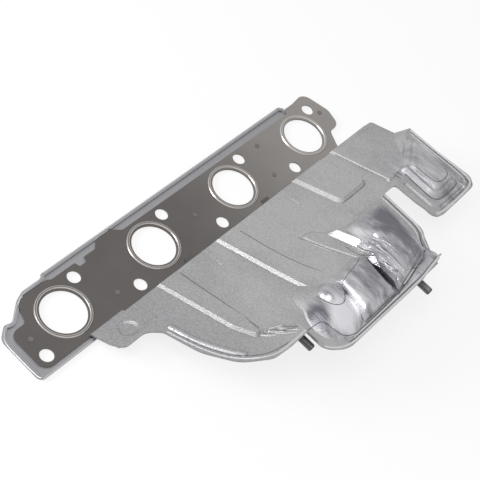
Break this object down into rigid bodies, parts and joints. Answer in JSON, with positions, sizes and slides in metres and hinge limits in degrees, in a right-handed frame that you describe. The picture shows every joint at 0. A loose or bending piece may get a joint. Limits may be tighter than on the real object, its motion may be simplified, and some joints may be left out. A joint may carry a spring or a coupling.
{
  "type": "exhaust manifold gasket with heat shield",
  "caption": "Flat layered exhaust manifold gasket with a row of round ports, carrying a stamped sheet heat shield with a deep hood, a side pocket and two short fixing studs",
  "frame": {"origin": "on the cylinder head face, at the middle of the port row", "axes": "+X along the port row, +Z away from the head through the gasket's visible face, +Y towards the side of the row that the shield doesn't reach"},
  "size_m": [0.4087, 0.2072, 0.057],
  "materials": {
    "gasket_steel": "cold-rolled spring steel",
    "carrier_steel": "cold-rolled steel",
    "coated_steel": "thin grey-brown high-temperature coating",
    "ring_steel": "plain stainless",
    "rivet_steel": "plain steel",
    "clip_steel": "dark spring steel",
    "tray_steel": "aluminised steel sheet",
    "bracket_steel": "aluminised steel",
    "stud_zinc": "dark zinc plating",
    "collar_zinc": "dark zinc plating",
    "cover_aluminium": "finely embossed aluminised sheet, drawn bright at the hood",
    "mat_fibre": "pressed ceramic fibre",
    "lining_aluminium": "finely embossed sheet"
  },
  "bodies": {
    "root": {"bracket_rivets": "rivet_steel", "cover_core_mat": "mat_fibre", "cover_inner_skin": "lining_aluminium", "cover_outer_skin": "cover_aluminium", "cover_studs": "stud_zinc", "gasket_carrier_layer": "carrier_steel", "gasket_clips": "clip_steel", "gasket_lower_layer": "gasket_steel", "gasket_upper_layer": "coated_steel", "layer_rivets": "rivet_steel", "left_stud_bracket": "bracket_steel", "mounting_tray": "tray_steel", "port_1_ring": "ring_steel", "port_2_ring": "ring_steel", "port_3_ring": "ring_steel", "port_4_ring": "ring_steel", "right_stud_bracket": "bracket_steel", "stud_collars": "collar_zinc", "tray_rivets": "rivet_steel"}
  },
  "joints": []
}
